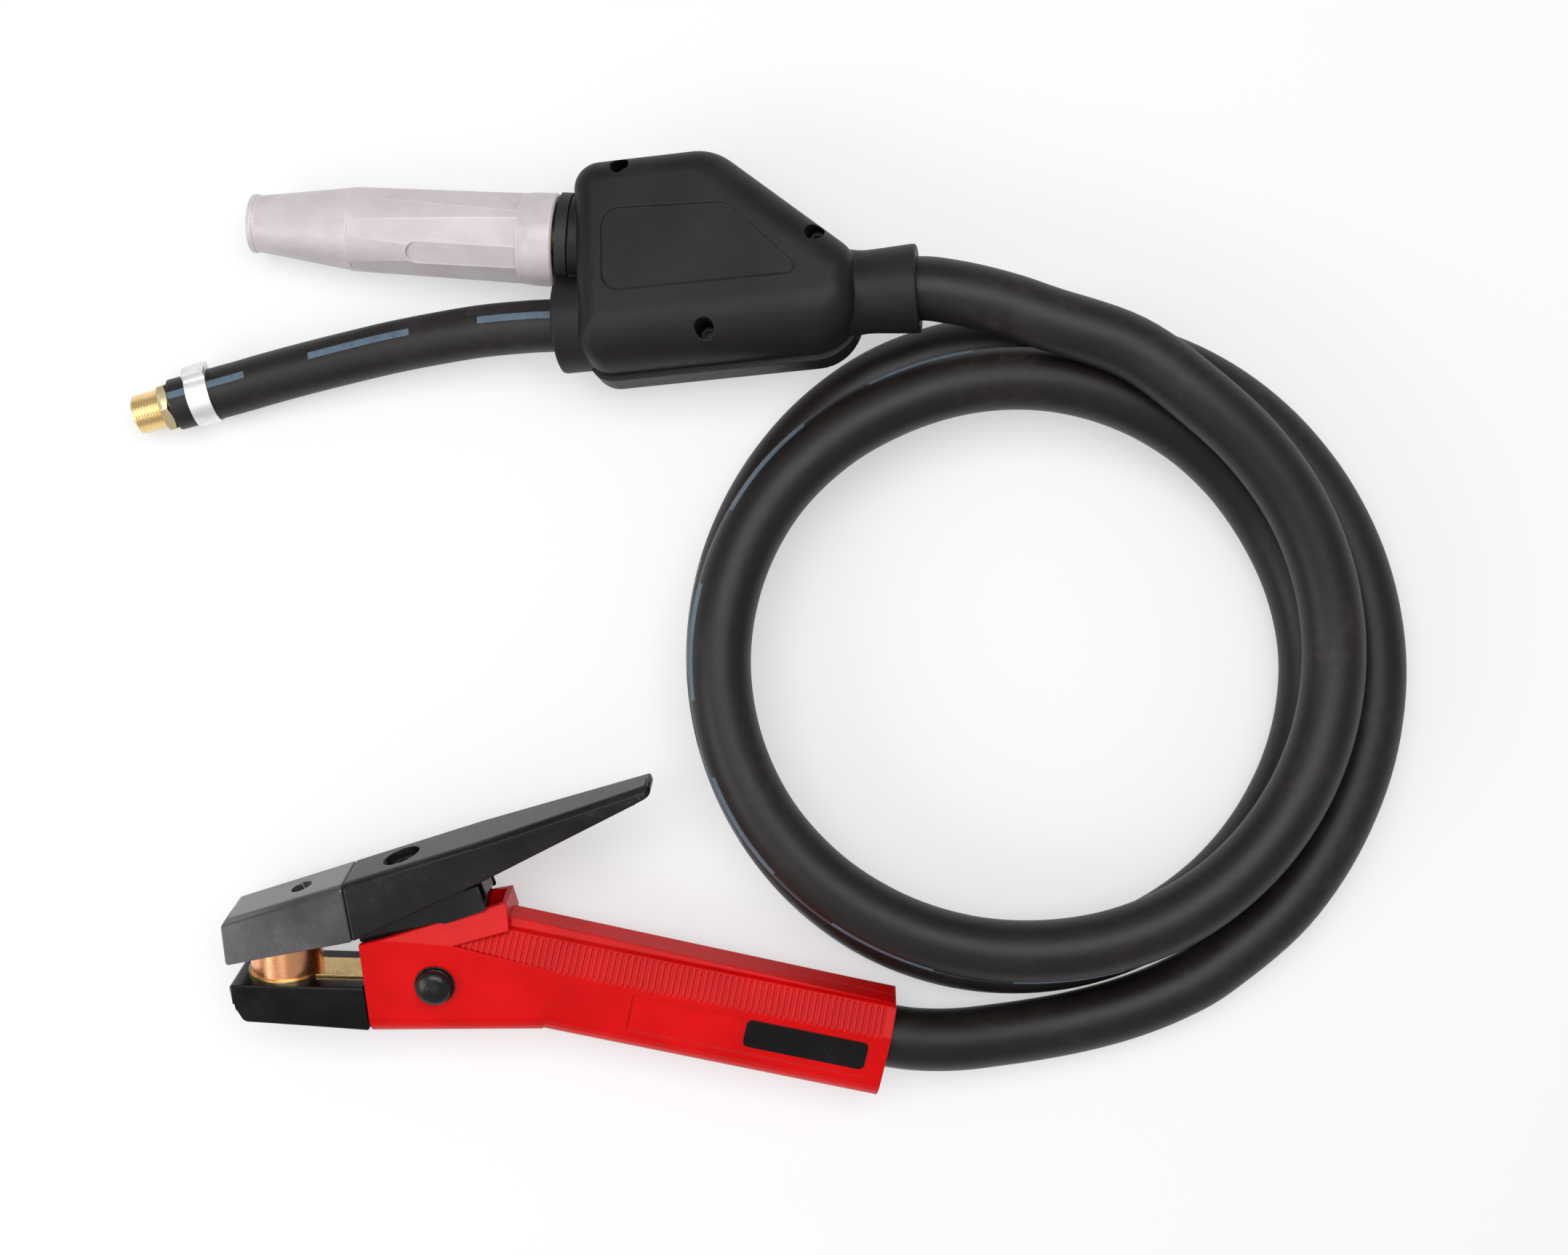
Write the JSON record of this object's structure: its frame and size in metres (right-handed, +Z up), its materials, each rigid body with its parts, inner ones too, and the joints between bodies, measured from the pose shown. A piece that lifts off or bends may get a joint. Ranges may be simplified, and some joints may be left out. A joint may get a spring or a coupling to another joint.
{
  "type": "air carbon-arc gouging torch",
  "caption": "Hand torch with a sprung jaw, turning copper head and push valve, on a swivelling power-and-air cable in loops, with a moulded boot, twist-lock power plug and threaded air whip.",
  "frame": {"origin": "on the bench, under the middle of the torch, boot, connector and fitting taken together without the hoses", "axes": "+Z up from the bench, +Y from the torch to the boot, +X from the jaw towards the hose loops"},
  "size_m": [0.5483, 0.3974, 0.0729],
  "materials": {
    "handle_plastic": "satin moulded nylon, bright red",
    "label": "bare dark label plate",
    "steel": "zinc plated",
    "dark_steel": "blackened",
    "brass": "cast and machined",
    "copper": "turned copper, polished",
    "aluminium": "crimped",
    "insulator_black": "glossy moulded thermoset",
    "lever_black": "mottled moulded thermoset",
    "button_black": "smooth",
    "seal_rubber": "smooth",
    "hose_rubber": "satin extruded rubber",
    "boot_black": "fine moulded grain",
    "sleeve_grey": "translucent grey vinyl"
  },
  "bodies": {
    "cable_set": {"swivel_nipple": "brass", "swivel_seals": "seal_rubber", "torch_ferrule": "aluminium", "main_hose": "hose_rubber", "boot_top": "boot_black", "boot_base": "boot_black", "boot_screws": "dark_steel", "junction_block": "brass", "cable_ferrule": "aluminium", "air_nipple": "brass", "whip_ferrule": "aluminium", "power_plug": "brass", "flange_seal": "seal_rubber", "air_hose": "hose_rubber", "ear_clamp": "steel", "air_fitting": "brass"},
    "torch": {"handle_near": "handle_plastic", "handle_far": "handle_plastic", "name_label": "label", "handle_screws": "steel", "torch_body": "brass", "lower_insulator": "insulator_black", "insulator_screw": "steel", "pivot_pin": "steel", "pin_clips": "steel", "button_rings": "button_black", "swivel_nut": "brass", "lever_spring": "steel"},
    "lever": {"upper_arm": "brass", "front_insulator": "insulator_black", "lever_grip": "lever_black", "pivot_block": "lever_black", "lever_screws": "steel"},
    "valve": {"valve_spool": "brass", "valve_seals": "seal_rubber", "button_near": "button_black", "button_far": "button_black"},
    "head": {"head": "copper", "head_washer": "steel", "head_screw": "steel"},
    "connector": {"power_socket": "brass", "connector_sleeve": "sleeve_grey", "cable_screw": "dark_steel"}
  },
  "joints": [
    {"name": "cable_swivel", "type": "hinge", "parent": "cable_set", "child": "torch", "pos_m": [0.132, -0.176, 0.0211], "axis": [0.9788, -0.2027, -0.0279], "continuous": true},
    {"name": "lever_pivot", "type": "hinge", "parent": "torch", "child": "lever", "pos_m": [-0.06647, -0.12904, 0.02855], "axis": [0.0331, 0.2917, -0.9559], "range_deg": [0, 14], "stiffness_Nm_per_rad": 4, "springref_deg": -20.05, "deforming": ["lever_spring"]},
    {"name": "valve_slide", "type": "slide", "parent": "torch", "child": "valve", "axis": [-0.0331, -0.2917, 0.9559], "range_m": [0, 0.005]},
    {"name": "head_turn", "type": "hinge", "parent": "torch", "child": "head", "pos_m": [-0.12382, -0.14597, 0.02139], "axis": [0.0114, 0.9563, 0.2922], "continuous": true},
    {"name": "connector_twist", "type": "hinge", "parent": "cable_set", "child": "connector", "pos_m": [-0.003, 0.1624, 0.0245], "axis": [0.9959, -0.0662, 0.061], "range_deg": [0, 90]}
  ]
}
